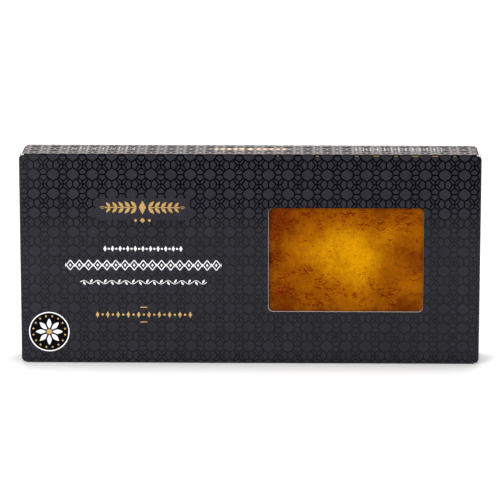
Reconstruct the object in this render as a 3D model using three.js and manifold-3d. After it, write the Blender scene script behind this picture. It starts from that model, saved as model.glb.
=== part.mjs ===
import * as THREE from "three";
import { mergeVertices } from "three/addons/utils/BufferGeometryUtils.js";
import Module from "manifold-3d";

// A shut, slim carton of folded board with a block of toasted nougat behind a clear window.
// Millimetres. X runs along the length, Y from front to back and Z up.
// The origin is the middle of the underside, and the window faces -Y.

// Outer size
const LENGTH = 200;
const DEPTH = 22;
const HEIGHT = 93;

// Board: its thickness, the outer radius of the four long folds, and the round of the front's corners
const BOARD = 0.6;
const FOLD_RADIUS = 0.7;
const CORNER_ACROSS = 2.2;
const CORNER_DOWN = 1.6;

// Ends: the wall is a flap over a folded layer, parted from the top, back and underside by a slit
const END_WALL = 2.5;
const END_FLAP = 1.5;
const SLIT_WIDTH = 0.4;
const SLIT_DEEP = 1.4;

// Window in the front: its middle along X, its middle height, its size and the round of its corners
const WINDOW_X = 41.6;
const WINDOW_Z = 46.3;
const WINDOW_LENGTH = 67.3;
const WINDOW_HEIGHT = 46.1;
const WINDOW_RADIUS = 2.1;

// Clear film, stuck to the inside of the front
const FILM = 0.2;
const FILM_LAP = 6.5;
const GLUE_GAP = 0.1;

// Block of nougat: its size, the round of its edges, and the waves of its face
const NOUGAT_LENGTH = 186;
const NOUGAT_THICK = 17;
const NOUGAT_HEIGHT = 87;
const NOUGAT_ROUND = 3.6;
const NOUGAT_BEHIND_FILM = 0.5;
const NOUGAT_ABOVE_BOARD = 0.3;
const WAVE_DEPTH = 0.35;
const WAVES = [
  { across: 31, up: 47, phase: 0.4, share: 0.5 },
  { across: 17, up: -23, phase: 2.1, share: 0.3 },
  { across: -11, up: 13, phase: 4.4, share: 0.2 },
];

// Steps of the curved faces
const ARC_STEPS = 8;
const NOUGAT_STEPS = { along: 36, through: 6, up: 20 };

const FRONT = -DEPTH / 2;
const BACK = DEPTH / 2;
const CUT_MARGIN = 1;

const black = new THREE.MeshStandardMaterial({ color: 0x2a2a30, roughness: 0.5, metalness: 0 });
const clear = new THREE.MeshStandardMaterial({
  color: 0xf2f4f5, roughness: 0.05, metalness: 0, transparent: true, opacity: 0.2,
});
const toasted = new THREE.MeshStandardMaterial({ color: 0xc27a10, roughness: 0.4, metalness: 0 });

const wasm = await Module();
wasm.setup();

function toSolid(geometry) {
  const bare = geometry.clone();
  bare.deleteAttribute("normal");
  bare.deleteAttribute("uv");
  const merged = mergeVertices(bare, 1e-4);
  return new wasm.Manifold(new wasm.Mesh({
    numProp: 3,
    vertProperties: new Float32Array(merged.attributes.position.array),
    triVerts: new Uint32Array(merged.index.array),
  }));
}

function toGeometry(solid) {
  const mesh = solid.getMesh();
  const geometry = new THREE.BufferGeometry();
  geometry.setAttribute("position", new THREE.BufferAttribute(new Float32Array(mesh.vertProperties), 3));
  geometry.setIndex(new THREE.BufferAttribute(new Uint32Array(mesh.triVerts), 1));
  geometry.computeVertexNormals();
  return geometry;
}

// A rectangle about a middle point, its corners rounded by quarter ellipses
function roundedOutline(middle, width, height, roundAcross, roundUp) {
  const shape = new THREE.Shape();
  const right = middle.x + width / 2 - roundAcross;
  const left = middle.x - width / 2 + roundAcross;
  const top = middle.y + height / 2 - roundUp;
  const bottom = middle.y - height / 2 + roundUp;
  const corners = [[right, bottom], [right, top], [left, top], [left, bottom]];
  shape.moveTo(right, bottom - roundUp);
  corners.forEach(([x, y], turn) => {
    const start = (turn - 1) * Math.PI / 2;
    shape.absellipse(x, y, roundAcross, roundUp, start, start + Math.PI / 2, false);
  });
  shape.closePath();
  return shape;
}

function block(x0, x1, y0, y1, z0, z1) {
  const box = new THREE.BoxGeometry(x1 - x0, y1 - y0, z1 - z0);
  return toSolid(box.translate((x0 + x1) / 2, (y0 + y1) / 2, (z0 + z1) / 2));
}

// An outline drawn in X and Z, given a thickness from front to back
function extrudeBack(shape, y0, y1) {
  const settings = { depth: y1 - y0, bevelEnabled: false, curveSegments: ARC_STEPS };
  const geometry = new THREE.ExtrudeGeometry(shape, settings);
  return toSolid(geometry.rotateX(Math.PI / 2).translate(0, y1, 0));
}

// An outline drawn in Y and Z, run along X
function extrudeAlong(shape, x0, x1) {
  const settings = { depth: x1 - x0, bevelEnabled: false, curveSegments: ARC_STEPS };
  const geometry = new THREE.ExtrudeGeometry(shape, settings);
  return toSolid(geometry.rotateX(Math.PI / 2).rotateZ(Math.PI / 2).translate(x0, 0, 0));
}

// The slit round one end's flap: it cuts the top, back and underside, and leaves the fold at the front
function endSlit(side) {
  const outer = LENGTH / 2 - END_FLAP;
  const [x0, x1] = side > 0 ? [outer - SLIT_WIDTH, outer] : [-outer, SLIT_WIDTH - outer];
  const ring = block(x0, x1, FRONT + BOARD, BACK + CUT_MARGIN, -CUT_MARGIN, HEIGHT + CUT_MARGIN);
  const core = block(
    x0 - CUT_MARGIN, x1 + CUT_MARGIN, FRONT, BACK - SLIT_DEEP, SLIT_DEEP, HEIGHT - SLIT_DEEP,
  );
  return ring.subtract(core);
}

function carton() {
  const middle = new THREE.Vector2(0, HEIGHT / 2);
  const frontOutline = roundedOutline(middle, LENGTH, HEIGHT, CORNER_ACROSS, CORNER_DOWN);
  const section = roundedOutline(middle, DEPTH, HEIGHT, FOLD_RADIUS, FOLD_RADIUS);
  const windowMiddle = new THREE.Vector2(WINDOW_X, WINDOW_Z);
  const windowOutline = roundedOutline(
    windowMiddle, WINDOW_LENGTH, WINDOW_HEIGHT, WINDOW_RADIUS, WINDOW_RADIUS,
  );
  const inside = LENGTH / 2 - END_WALL;
  const hollow = block(-inside, inside, FRONT + BOARD, BACK - BOARD, BOARD, HEIGHT - BOARD);
  const solid = extrudeBack(frontOutline, FRONT, BACK)
    .intersect(extrudeAlong(section, -LENGTH / 2, LENGTH / 2))
    .subtract(hollow)
    .subtract(extrudeBack(windowOutline, FRONT - CUT_MARGIN, FRONT + BOARD + CUT_MARGIN))
    .subtract(endSlit(1))
    .subtract(endSlit(-1));
  return new THREE.Mesh(toGeometry(solid), black);
}

function windowFilm() {
  const middle = new THREE.Vector2(WINDOW_X, WINDOW_Z);
  const outline = roundedOutline(
    middle, WINDOW_LENGTH + 2 * FILM_LAP, WINDOW_HEIGHT + 2 * FILM_LAP, WINDOW_RADIUS, WINDOW_RADIUS,
  );
  const front = FRONT + BOARD + GLUE_GAP;
  return new THREE.Mesh(toGeometry(extrudeBack(outline, front, front + FILM)), clear);
}

// How far a point of the broad faces stands out, from a few crossing waves
function waveAt(x, z) {
  const sum = WAVES.reduce((total, wave) => {
    const angle = 2 * Math.PI * (x / wave.across + z / wave.up) + wave.phase;
    return total + wave.share * Math.sin(angle);
  }, 0);
  return -WAVE_DEPTH * (1 + sum) / 2;
}

// Draws evenly spaced points of an axis together towards its two ends, where the edges are rounded
function crowdToEnds(value, half) {
  return half * Math.sin((Math.PI / 2) * (value / half));
}

// A slab whose edges are rounded by pushing each point out from a smaller inner slab
function nougatBlock() {
  const half = new THREE.Vector3(NOUGAT_LENGTH / 2, NOUGAT_THICK / 2, NOUGAT_HEIGHT / 2);
  const inner = half.clone().subScalar(NOUGAT_ROUND);
  const geometry = new THREE.BoxGeometry(
    NOUGAT_LENGTH, NOUGAT_THICK, NOUGAT_HEIGHT, NOUGAT_STEPS.along, NOUGAT_STEPS.through, NOUGAT_STEPS.up,
  );
  const place = geometry.attributes.position;
  const point = new THREE.Vector3();
  const core = new THREE.Vector3();
  for (let i = 0; i < place.count; i += 1) {
    point.fromBufferAttribute(place, i);
    point.set(crowdToEnds(point.x, half.x), crowdToEnds(point.y, half.y), crowdToEnds(point.z, half.z));
    core.copy(point).clamp(inner.clone().negate(), inner);
    const outward = point.clone().sub(core).normalize();
    point.copy(core).addScaledVector(outward, NOUGAT_ROUND);
    point.y += outward.y * waveAt(point.x, point.z);
    place.setXYZ(i, point.x, point.y, point.z);
  }
  const mesh = new THREE.Mesh(toGeometry(toSolid(geometry)), toasted);
  mesh.position.set(
    0,
    FRONT + BOARD + GLUE_GAP + FILM + NOUGAT_BEHIND_FILM + NOUGAT_THICK / 2,
    BOARD + NOUGAT_ABOVE_BOARD + NOUGAT_HEIGHT / 2,
  );
  return mesh;
}

const pieces = {
  carton: carton(),
  window_film: windowFilm(),
  nougat_block: nougatBlock(),
};

const pack = new THREE.Group();
for (const [name, mesh] of Object.entries(pieces)) {
  mesh.name = name;
  pack.add(mesh);
}

export default pack;
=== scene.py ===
"""A boxed nougat block: a slim black carton, its clear film, the toasted block behind it, and the print.

Laid out as an add-on and run as a script. Everything is in metres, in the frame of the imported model:
X runs along the pack, Y from front to back and Z up, from the middle of the underside.
"""

import math
from functools import reduce

import bmesh
import bpy
from bpy.props import FloatProperty, FloatVectorProperty, PointerProperty
from mathutils import Matrix, Vector, noise


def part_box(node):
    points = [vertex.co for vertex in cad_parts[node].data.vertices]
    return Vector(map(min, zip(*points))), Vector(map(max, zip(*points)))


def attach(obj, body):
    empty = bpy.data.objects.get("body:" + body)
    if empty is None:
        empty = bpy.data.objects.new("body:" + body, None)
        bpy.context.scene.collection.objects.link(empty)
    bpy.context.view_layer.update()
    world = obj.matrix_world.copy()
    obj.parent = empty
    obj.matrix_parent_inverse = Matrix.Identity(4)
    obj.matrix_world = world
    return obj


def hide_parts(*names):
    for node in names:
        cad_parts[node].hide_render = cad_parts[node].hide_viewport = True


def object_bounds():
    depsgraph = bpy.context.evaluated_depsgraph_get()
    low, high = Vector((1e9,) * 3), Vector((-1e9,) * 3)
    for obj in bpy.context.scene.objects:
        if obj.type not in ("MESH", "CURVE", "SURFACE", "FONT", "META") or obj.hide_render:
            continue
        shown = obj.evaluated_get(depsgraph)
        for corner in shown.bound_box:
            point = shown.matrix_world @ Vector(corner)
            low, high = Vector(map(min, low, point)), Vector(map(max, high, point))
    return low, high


bl_info = {
    "name": "Boxed nougat block",
    "version": (1, 0, 0),
    "blender": (4, 5, 0),
    "location": "3D View > Sidebar > Nougat",
    "description": "Builds a slim window carton with a block of toasted nougat, and its stage",
    "category": "Object",
}

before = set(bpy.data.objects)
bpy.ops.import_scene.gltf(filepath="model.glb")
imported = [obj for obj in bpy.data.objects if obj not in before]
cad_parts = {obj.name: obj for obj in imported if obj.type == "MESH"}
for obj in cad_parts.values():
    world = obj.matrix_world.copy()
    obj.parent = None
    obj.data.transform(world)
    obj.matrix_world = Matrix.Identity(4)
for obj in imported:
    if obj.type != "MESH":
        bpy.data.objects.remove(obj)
CAD_LOW, CAD_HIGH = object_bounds()

MM = 0.001
BODY = "root"

# Places that follow the frame
LENGTH = CAD_HIGH.x - CAD_LOW.x
DEPTH = CAD_HIGH.y - CAD_LOW.y
HEIGHT = CAD_HIGH.z
FILM_LOW, FILM_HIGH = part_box("window_film")
BLOCK_LOW, BLOCK_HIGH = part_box("nougat_block")
FILM_LAP = 6.5 * MM
WINDOW_LOW = Vector((FILM_LOW.x + FILM_LAP, CAD_LOW.y, FILM_LOW.z + FILM_LAP))
WINDOW_HIGH = Vector((FILM_HIGH.x - FILM_LAP, CAD_LOW.y, FILM_HIGH.z - FILM_LAP))

# The board's outer faces lie this far inside the frame's, which leaves room for foil on top of them
FOIL_ROOM = 0.05 * MM
FRONT = CAD_LOW.y + FOIL_ROOM
BACK = CAD_HIGH.y - FOIL_ROOM
TOP = HEIGHT - FOIL_ROOM
UNDERSIDE = 0.0
SIDE = LENGTH / 2 - FOIL_ROOM

COLOUR = {"subtype": "COLOR", "size": 3, "min": 0.0, "max": 1.0}
QUARTER_TURN = math.radians(90)


class CartonSettings(bpy.types.PropertyGroup):
    """Sizes and colours of the folded board"""

    board: FloatProperty(
        name="Board", description="Thickness of the carton board", default=0.45 * MM, unit="LENGTH"
    )
    fold: FloatProperty(
        name="Fold", description="Outer radius of the long folds", default=0.45 * MM, unit="LENGTH"
    )
    end_fold: FloatProperty(
        name="End fold", description="Outer radius of the folds at the ends", default=0.9 * MM, unit="LENGTH"
    )
    top_inset: FloatProperty(
        name="Top inset",
        description="How far the top and underside end short of the front's ends",
        default=1.75 * MM,
        unit="LENGTH",
    )
    corner: FloatProperty(
        name="Corner", description="Drop of the front's corners at the ends", default=1.9 * MM, unit="LENGTH"
    )
    window_round: FloatProperty(
        name="Window round", description="Corner radius of the window", default=2.1 * MM, unit="LENGTH"
    )
    pitch: FloatProperty(
        name="Lattice pitch", description="Width of one lattice cell", default=8.465 * MM, unit="LENGTH"
    )
    line: FloatProperty(
        name="Lattice line", description="Width of the lattice's lines", default=0.66 * MM, unit="LENGTH"
    )
    board_colour: FloatVectorProperty(
        name="Board colour", description="Matte black board", default=(0.0153, 0.0151, 0.0214), **COLOUR
    )
    # The line colour also paints the dark line of shade along the folds
    line_colour: FloatVectorProperty(
        name="Line colour", description="Gloss black lattice", default=(0.0014, 0.0012, 0.0032), **COLOUR
    )
    edge_colour: FloatVectorProperty(
        name="Edge colour", description="Pale cut edge of the window", default=(0.62, 0.54, 0.48), **COLOUR
    )
    core_colour: FloatVectorProperty(
        name="Core colour", description="White of the board's cut edges", default=(0.90, 0.88, 0.86), **COLOUR
    )


class PrintSettings(bpy.types.PropertyGroup):
    """Sizes and colours of the foil and the white print"""

    foil: FloatProperty(
        name="Foil", description="Thickness of foil and print", default=0.03 * MM, unit="LENGTH"
    )
    gold: FloatVectorProperty(
        name="Gold", description="Colour of the gold foil", default=(0.57, 0.34, 0.10), **COLOUR
    )
    white: FloatVectorProperty(
        name="White", description="Colour of the white print", default=(0.93, 0.93, 0.95), **COLOUR
    )


class NougatSettings(bpy.types.PropertyGroup):
    """Sizes and colours of the nougat"""

    edge_round: FloatProperty(
        name="Edge round", description="Round of the block's edges", default=3.6 * MM, unit="LENGTH"
    )
    relief: FloatProperty(
        name="Relief", description="Height of the bumps of the toasted face", default=0.22 * MM, unit="LENGTH"
    )
    # The yolk's lightest part is partly a painted pool of light, and the brown's darkest rim partly painted
    # shade
    yolk: FloatVectorProperty(
        name="Yolk", description="Golden yellow of the lightest part", default=(0.70, 0.318, 0.0003), **COLOUR
    )
    toast: FloatVectorProperty(
        name="Toast", description="Amber of the toasted part", default=(0.347, 0.102, 0.0003), **COLOUR
    )
    brown: FloatVectorProperty(
        name="Brown", description="Brown of the darkest rim", default=(0.165, 0.032, 0.0003), **COLOUR
    )
    burnt: FloatVectorProperty(
        name="Burnt", description="Red brown of the burnt sugar", default=(0.150, 0.003, 0.0004), **COLOUR
    )


class StageSettings(bpy.types.PropertyGroup):
    """The camera and the light"""

    lens: FloatProperty(name="Lens", description="Focal length in millimetres", default=231.1)
    distance: FloatProperty(
        name="Distance", description="From the camera to the front", default=1394 * MM, unit="LENGTH"
    )
    pitch: FloatProperty(
        name="Pitch", description="How far the camera looks down", default=math.radians(12.5), unit="ROTATION"
    )
    turn: FloatProperty(
        name="Turn", description="The camera's turn to the right", default=math.radians(0.9), unit="ROTATION"
    )
    rise: FloatProperty(
        name="Rise", description="Rise of the view over the middle", default=4.13 * MM, unit="LENGTH"
    )
    floor_colour: FloatVectorProperty(
        name="Floor colour", description="Pale grey of the floor", default=(0.80, 0.80, 0.80), **COLOUR
    )


def new_object(name, bm, materials):
    """Turns a bmesh into an object at the origin."""
    mesh = bpy.data.meshes.new(name)
    bm.to_mesh(mesh)
    bm.free()
    for material in materials:
        mesh.materials.append(material)
    made = bpy.data.objects.new(name, mesh)
    bpy.context.scene.collection.objects.link(made)
    return made


def new_piece(name, bm, materials):
    """Turns a bmesh into an object that rides on the pack."""
    piece = new_object(name, bm, materials)
    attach(piece, BODY)
    return piece


def upright(middle, size):
    """The matrix that stands a flat unit square up about a point, facing the front."""
    turned = Matrix.Rotation(QUARTER_TURN, 4, "X")
    return Matrix.Translation(middle) @ turned @ Matrix.Diagonal((size.x, size.z, 1, 1))


# Nodes of the materials


def new_material(name):
    """A material with a Principled shader, and its node tree."""
    material = bpy.data.materials.new(name)
    material.use_nodes = True
    return material, material.node_tree, material.node_tree.nodes["Principled BSDF"]


def add_node(tree, kind, *values, **settings):
    """Adds a node, sets its settings, and feeds its first inputs with numbers, vectors or sockets."""
    made = tree.nodes.new(kind)
    for key, value in settings.items():
        setattr(made, key, value)
    for socket, value in zip(made.inputs, values):
        feed(tree, socket, value)
    return made


def feed(tree, socket, value):
    """Sets a socket, or links it where the value is another node's output."""
    if isinstance(value, bpy.types.NodeSocket):
        tree.links.new(value, socket)
    else:
        socket.default_value = value


def set_inputs(node, values):
    """Sets a node's inputs by their names."""
    for name, value in values.items():
        node.inputs[name].default_value = value


def number(tree, operation, *values, clamp=False):
    """The result of a Math node."""
    return add_node(tree, "ShaderNodeMath", *values, operation=operation, use_clamp=clamp).outputs[0]


def combine(tree, operation, values):
    """Joins many numbers by one operation."""
    return reduce(lambda so_far, value: number(tree, operation, so_far, value), values)


def vector(tree, operation, *values):
    """The vector that a Vector Math node gives."""
    return add_node(tree, "ShaderNodeVectorMath", *values, operation=operation).outputs["Vector"]


def measure(tree, operation, *values):
    """The number that a Vector Math node gives."""
    return add_node(tree, "ShaderNodeVectorMath", *values, operation=operation).outputs["Value"]


def scaled(tree, value, factor):
    """A vector or a colour, times a number."""
    made = add_node(tree, "ShaderNodeVectorMath", value, operation="SCALE")
    feed(tree, made.inputs["Scale"], factor)
    return made.outputs["Vector"]


def ramp(tree, value, start, end, low=0.0, high=1.0):
    """Turns a value smoothly from low to high between start and end."""
    made = add_node(tree, "ShaderNodeMapRange", interpolation_type="SMOOTHSTEP")
    feed(tree, made.inputs["Value"], value)
    set_inputs(made, {"From Min": start, "From Max": end, "To Min": low, "To Max": high})
    return made.outputs[0]


def soft_line(tree, away, half_width, inner, outer):
    """1 on the middle of a line and 0 off it. Its edge fades between two shares of half its width."""
    return ramp(tree, away, half_width * inner, half_width * outer, 1.0, 0.0)


def blend_colours(tree, factor, first, second):
    """Mixes two colours."""
    made = add_node(tree, "ShaderNodeMix", data_type="RGBA")
    feed(tree, made.inputs["Factor"], factor)
    feed(tree, made.inputs["A"], with_alpha(first))
    feed(tree, made.inputs["B"], with_alpha(second))
    return made.outputs["Result"]


def with_alpha(colour):
    """A colour of three numbers with a full alpha, or the socket as it is."""
    return colour if isinstance(colour, bpy.types.NodeSocket) else (*colour, 1.0)


def object_place(tree):
    """Each point's place in the frame."""
    return add_node(tree, "ShaderNodeTexCoord").outputs["Object"]


def noise_at(tree, place, scale, detail=2.0, roughness=0.5):
    """The value of a noise texture at a place."""
    made = add_node(tree, "ShaderNodeTexNoise")
    feed(tree, made.inputs["Vector"], place)
    set_inputs(made, {"Scale": scale, "Detail": detail, "Roughness": roughness})
    return made.outputs["Fac"]


# Most of a noise's values lie in the first span, and nearly all in the second
NOISE_SPAN = (0.3, 0.7)
GRAIN_SPAN = (0.25, 0.75)


def uneven(tree, place, scale, low, high):
    """A factor that wanders between low and high from place to place."""
    return ramp(tree, noise_at(tree, place, scale), *NOISE_SPAN, low, high)


def add_bump(tree, shader, height, distance, strength):
    """Gives a shader a bump from a height."""
    bump = add_node(tree, "ShaderNodeBump")
    set_inputs(bump, {"Strength": strength, "Distance": distance})
    feed(tree, bump.inputs["Height"], height)
    feed(tree, shader.inputs["Normal"], bump.outputs["Normal"])


# One quarter of the lattice's cell, in pitches from the middle of a large cell. The rest mirrors it.
LATTICE = (
    ((0.357, 0.0), (0.28, 0.17)),
    ((0.28, 0.17), (0.2, 0.225)),
    ((0.2, 0.225), (0.0, 0.352)),
    ((0.357, 0.0), (0.5, 0.0)),
    ((0.0, 0.352), (0.0, 0.5)),
    ((0.28, 0.17), (0.5, 0.345)),
    ((0.2, 0.225), (0.37, 0.5)),
    ((0.5, 0.345), (0.5, 0.5)),
    ((0.37, 0.5), (0.5, 0.5)),
)


def distance_to_segment(tree, place, start, end):
    """How far a place is from a straight line between two points."""
    start, end = Vector((*start, 0.0)), Vector((*end, 0.0))
    along = end - start
    from_start = vector(tree, "SUBTRACT", place, start)
    share = measure(tree, "DOT_PRODUCT", from_start, along / along.length_squared)
    share = number(tree, "ADD", share, 0.0, clamp=True)
    return measure(tree, "DISTANCE", from_start, scaled(tree, along, share))


def lattice_lines(tree, place, half_width):
    """1 on the lines of the lattice and 0 beside them. The place is counted in pitches."""
    half = (0.5, 0.5, 0.5)
    in_cell = vector(tree, "FRACTION", vector(tree, "ADD", place, half))
    in_quarter = vector(tree, "ABSOLUTE", vector(tree, "SUBTRACT", in_cell, half))
    away = [distance_to_segment(tree, in_quarter, start, end) for start, end in LATTICE]
    return soft_line(tree, combine(tree, "MINIMUM", away), half_width, 0.7, 1.3)


# Middle of one large cell of the lattice
LATTICE_START = (-0.45 * MM, HEIGHT - 0.6 * MM)

# The lattice leaves a field round the gold sprig and the seal. Each fades in over a short way.
ORNAMENT_FIELD = {"middle": (-46.4 * MM, 68.8 * MM), "half": (20.2 * MM, 4.6 * MM), "fade": 0.5 * MM}
SEAL_MIDDLE = (-87.7 * MM, 13.9 * MM)
SEAL_RADIUS = 8.9 * MM
SEAL_FADE = 0.3 * MM

# Half the width of the gloss black line on a fold, which is painted shade of the fold, as a share of the
# fold's radius
FOLD_SHADE_LINE = 0.75


def fold_shade_lines(tree, flat_place, half_width):
    """1 on a painted dark line of shade along the front's two long folds and the back's upper one, and 0
    beside them.
    """
    across = add_node(tree, "ShaderNodeSeparateXYZ", flat_place).outputs["Y"]
    folds = (0.0, TOP, TOP + DEPTH)
    away = [number(tree, "ABSOLUTE", number(tree, "SUBTRACT", across, fold)) for fold in folds]
    return soft_line(tree, combine(tree, "MINIMUM", away), half_width, 0.8, 1.3)


def clear_fields(tree, flat_place):
    """1 where the lattice is printed and 0 in the two fields that are kept clear."""
    away = vector(tree, "SUBTRACT", flat_place, (*ORNAMENT_FIELD["middle"], 0.0))
    away = vector(tree, "ABSOLUTE", away)
    away = vector(tree, "SUBTRACT", away, (*ORNAMENT_FIELD["half"], 0.0))
    away = vector(tree, "MAXIMUM", away, (0.0, 0.0, 0.0))
    beside_ornament = ramp(tree, measure(tree, "LENGTH", away), 0.0, ORNAMENT_FIELD["fade"])
    to_seal = measure(tree, "DISTANCE", flat_place, (*SEAL_MIDDLE, 0.0))
    beside_seal = ramp(tree, to_seal, SEAL_RADIUS, SEAL_RADIUS + SEAL_FADE)
    return number(tree, "MULTIPLY", beside_ornament, beside_seal)


def printed_board_material(settings):
    """Matte black board with the lattice in gloss black lines, and a painted dark line of shade along the
    folds.
    """
    material, tree, shader = new_material("printed_board")
    flat_place = add_node(tree, "ShaderNodeUVMap", uv_map="print").outputs["UV"]
    from_start = vector(tree, "SUBTRACT", flat_place, (*LATTICE_START, 0.0))
    in_pitches = scaled(tree, from_start, 1.0 / settings.pitch)
    lines = lattice_lines(tree, in_pitches, settings.line / settings.pitch / 2)
    lines = number(tree, "MULTIPLY", lines, clear_fields(tree, flat_place))
    # Painted shade: a dark gloss line along the folds, in the lattice's line colour
    lines = number(tree, "MAXIMUM", lines, fold_shade_lines(tree, flat_place, settings.fold * FOLD_SHADE_LINE))
    place = object_place(tree)
    mottle = uneven(tree, place, 90.0, 0.88, 1.12)
    speckle = uneven(tree, place, 1000.0, 0.88, 1.12)
    board = scaled(tree, tuple(settings.board_colour), number(tree, "MULTIPLY", mottle, speckle))
    feed(tree, shader.inputs["Base Color"], blend_colours(tree, lines, board, settings.line_colour))
    shader.inputs["Specular IOR Level"].default_value = 0.20
    grain = noise_at(tree, place, 2600.0, detail=3.0)
    rough = add_node(tree, "ShaderNodeMix", lines, data_type="FLOAT")
    feed(tree, rough.inputs["A"], ramp(tree, grain, *GRAIN_SPAN, 0.62, 0.74))
    rough.inputs["B"].default_value = 0.11
    feed(tree, shader.inputs["Roughness"], rough.outputs["Result"])
    flat_grain = number(tree, "MULTIPLY", grain, number(tree, "SUBTRACT", 1.0, lines))
    add_bump(tree, shader, flat_grain, 0.004 * MM, 0.6)
    return material


def paper_material(name, colour, roughness):
    """Unprinted board, with its fibres."""
    material, tree, shader = new_material(name)
    fibres = noise_at(tree, object_place(tree), 1400.0, detail=4.0, roughness=0.6)
    shade = ramp(tree, fibres, *NOISE_SPAN, 0.9, 1.0)
    feed(tree, shader.inputs["Base Color"], scaled(tree, tuple(colour), shade))
    shader.inputs["Roughness"].default_value = roughness
    add_bump(tree, shader, fibres, 0.03 * MM, 0.5)
    return material


def foil_material(settings):
    """Satin gold foil under a clear varnish."""
    material, tree, shader = new_material("gold_foil")
    brushed = noise_at(tree, object_place(tree), 1800.0)
    tone = ramp(tree, brushed, *NOISE_SPAN, 0.84, 1.1)
    feed(tree, shader.inputs["Base Color"], scaled(tree, tuple(settings.gold), tone))
    set_inputs(shader, {"Metallic": 0.35, "Roughness": 0.36, "Coat Weight": 0.8, "Coat Roughness": 0.2})
    add_bump(tree, shader, brushed, 0.004 * MM, 0.5)
    return material


def ink_material(settings):
    """White print with a slightly uneven cover."""
    material, tree, shader = new_material("white_ink")
    cover = uneven(tree, object_place(tree), 1500.0, 0.9, 1.0)
    feed(tree, shader.inputs["Base Color"], scaled(tree, tuple(settings.white), cover))
    shader.inputs["Roughness"].default_value = 0.45
    return material


# Carton

FOLD_STEPS = 5
CORNER_STEPS = 5
FLAP_GAP = 0.25 * MM
NEAR = 0.01 * MM

# Each flap runs on from its fold in steps: how far, and how much it has drawn in at both sides by then
OUTER_FLAP = (
    (0.8 * MM, 1.0 * MM),
    (1.5 * MM, 0.2 * MM),
    (DEPTH - 7.2 * MM, 0.1 * MM),
    (2.4 * MM, 0.6 * MM),
    (0.9 * MM, 2.0 * MM),
)
INNER_FLAP = ((1.2 * MM, 0.1 * MM), (DEPTH - 7.0 * MM, 0.1 * MM), (2.5 * MM, 1.2 * MM))
DUST_FLAP = ((1.5 * MM, 1.4 * MM), (26 * MM, 1.4 * MM), (2.0 * MM, 3.5 * MM))


def run_on(bm, edges, offset):
    """Extends a sheet from some of its edges and gives the new edges."""
    made = bmesh.ops.extrude_edge_only(bm, edges=edges)["geom"]
    bmesh.ops.translate(bm, verts=[g for g in made if isinstance(g, bmesh.types.BMVert)], vec=offset)
    return [g for g in made if isinstance(g, bmesh.types.BMEdge) and g.is_boundary and runs_across(g, offset)]


def runs_across(edge, offset):
    """True if an edge lies square to a direction."""
    along = (edge.verts[1].co - edge.verts[0].co).normalized()
    return abs(along.dot(Vector(offset).normalized())) < 0.5


def turn_on(bm, edges, centre, axis, angle):
    """Extends a sheet round a fold and gives the edges at the fold's far side."""
    geometry = edges + list({v for e in edges for v in e.verts})
    made = bmesh.ops.spin(
        bm, geom=geometry, cent=centre, axis=axis, angle=angle, steps=FOLD_STEPS, use_duplicate=False
    )["geom_last"]
    return [g for g in made if isinstance(g, bmesh.types.BMEdge)]


def set_half(edges, axis, middle, half):
    """Moves the ends of edges along one axis, so that each reaches half either way from the middle."""
    for corner in {v for e in edges for v in e.verts}:
        corner.co[axis] = middle + math.copysign(half, corner.co[axis] - middle)


def run_flap(bm, edges, steps, heading, axis, middle, half):
    """Runs a flap on from its fold, each step drawn in by its own amount."""
    for reach, drawn_in in steps:
        edges = run_on(bm, edges, Vector(heading) * reach)
        set_half(edges, axis, middle, half - drawn_in)


def open_end(bm, x, axis, level):
    """The open edges at one end of a wall, which lies at a level of Y or Z."""
    return [
        e for e in bm.edges
        if e.is_boundary
        and all(abs(v.co.x - x) < NEAR and abs(v.co[axis] - level) < NEAR for v in e.verts)
    ]


def wall_end(settings):
    """How far from the middle the top and underside end and their folds begin."""
    return SIDE - settings.top_inset - settings.fold


def window_loop(bm, low, high, radius, y):
    """The edges of a rounded rectangle that stands at one depth."""
    made = bmesh.ops.create_grid(bm, x_segments=1, y_segments=1, size=0.5)["verts"]
    middle = (low + high) / 2
    middle.y = y
    bmesh.ops.transform(bm, matrix=upright(middle, high - low), verts=made)
    bmesh.ops.bevel(
        bm, geom=made, offset=radius, offset_type="OFFSET", segments=CORNER_STEPS, profile=0.5,
        affect="VERTICES", material=-1,
    )
    face = min(
        (f for f in bm.faces if abs(f.normal.y) > 0.9 and abs(f.calc_center_median().y - y) < NEAR),
        key=lambda f: (f.calc_center_median() - middle).length,
    )
    edges = list(face.edges)
    bmesh.ops.delete(bm, geom=[face], context="FACES_ONLY")
    return edges


def add_front_flap(bm, side, settings):
    """Runs the front on to its end, round the fold, and back over the end as the outer flap."""
    start = wall_end(settings)
    hinge = SIDE - settings.end_fold
    full = TOP / 2 - settings.fold
    edges = open_end(bm, side * start, 1, FRONT)
    for _ in range(CORNER_STEPS):
        edges = run_on(bm, edges, (side * (hinge - start) / CORNER_STEPS, 0, 0))
    centre = (side * hinge, FRONT + settings.end_fold, 0)
    edges = turn_on(bm, edges, centre, (0, 0, 1), side * QUARTER_TURN)
    round_corners(bm, side, start, full, settings.corner)
    run_flap(bm, edges, OUTER_FLAP, (0, 1, 0), 2, TOP / 2, full)


def round_corners(bm, side, start, full, corner):
    """Draws the front's corners in along a quarter of an ellipse that goes on round the fold."""
    for vertex in bm.verts:
        share = (side * vertex.co.x - start) / (SIDE - start)
        if share > 0.01:
            drop = corner * (1 - math.sqrt(max(0.0, 1 - share**2)))
            vertex.co.z = TOP / 2 + math.copysign(full - drop, vertex.co.z - TOP / 2)


def add_back_flap(bm, side, settings):
    """Folds a flap from the back in under the outer one."""
    start = wall_end(settings)
    hinge = SIDE - settings.board - FLAP_GAP - settings.fold
    full = TOP / 2 - settings.fold
    edges = open_end(bm, side * start, 1, BACK)
    edges = run_on(bm, edges, (side * (hinge - start), 0, 0))
    set_half(edges, 2, TOP / 2, full - 0.2 * MM)
    centre = (side * hinge, BACK - settings.fold, 0)
    edges = turn_on(bm, edges, centre, (0, 0, 1), -side * QUARTER_TURN)
    run_flap(bm, edges, INNER_FLAP, (0, -1, 0), 2, TOP / 2, full)


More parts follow.
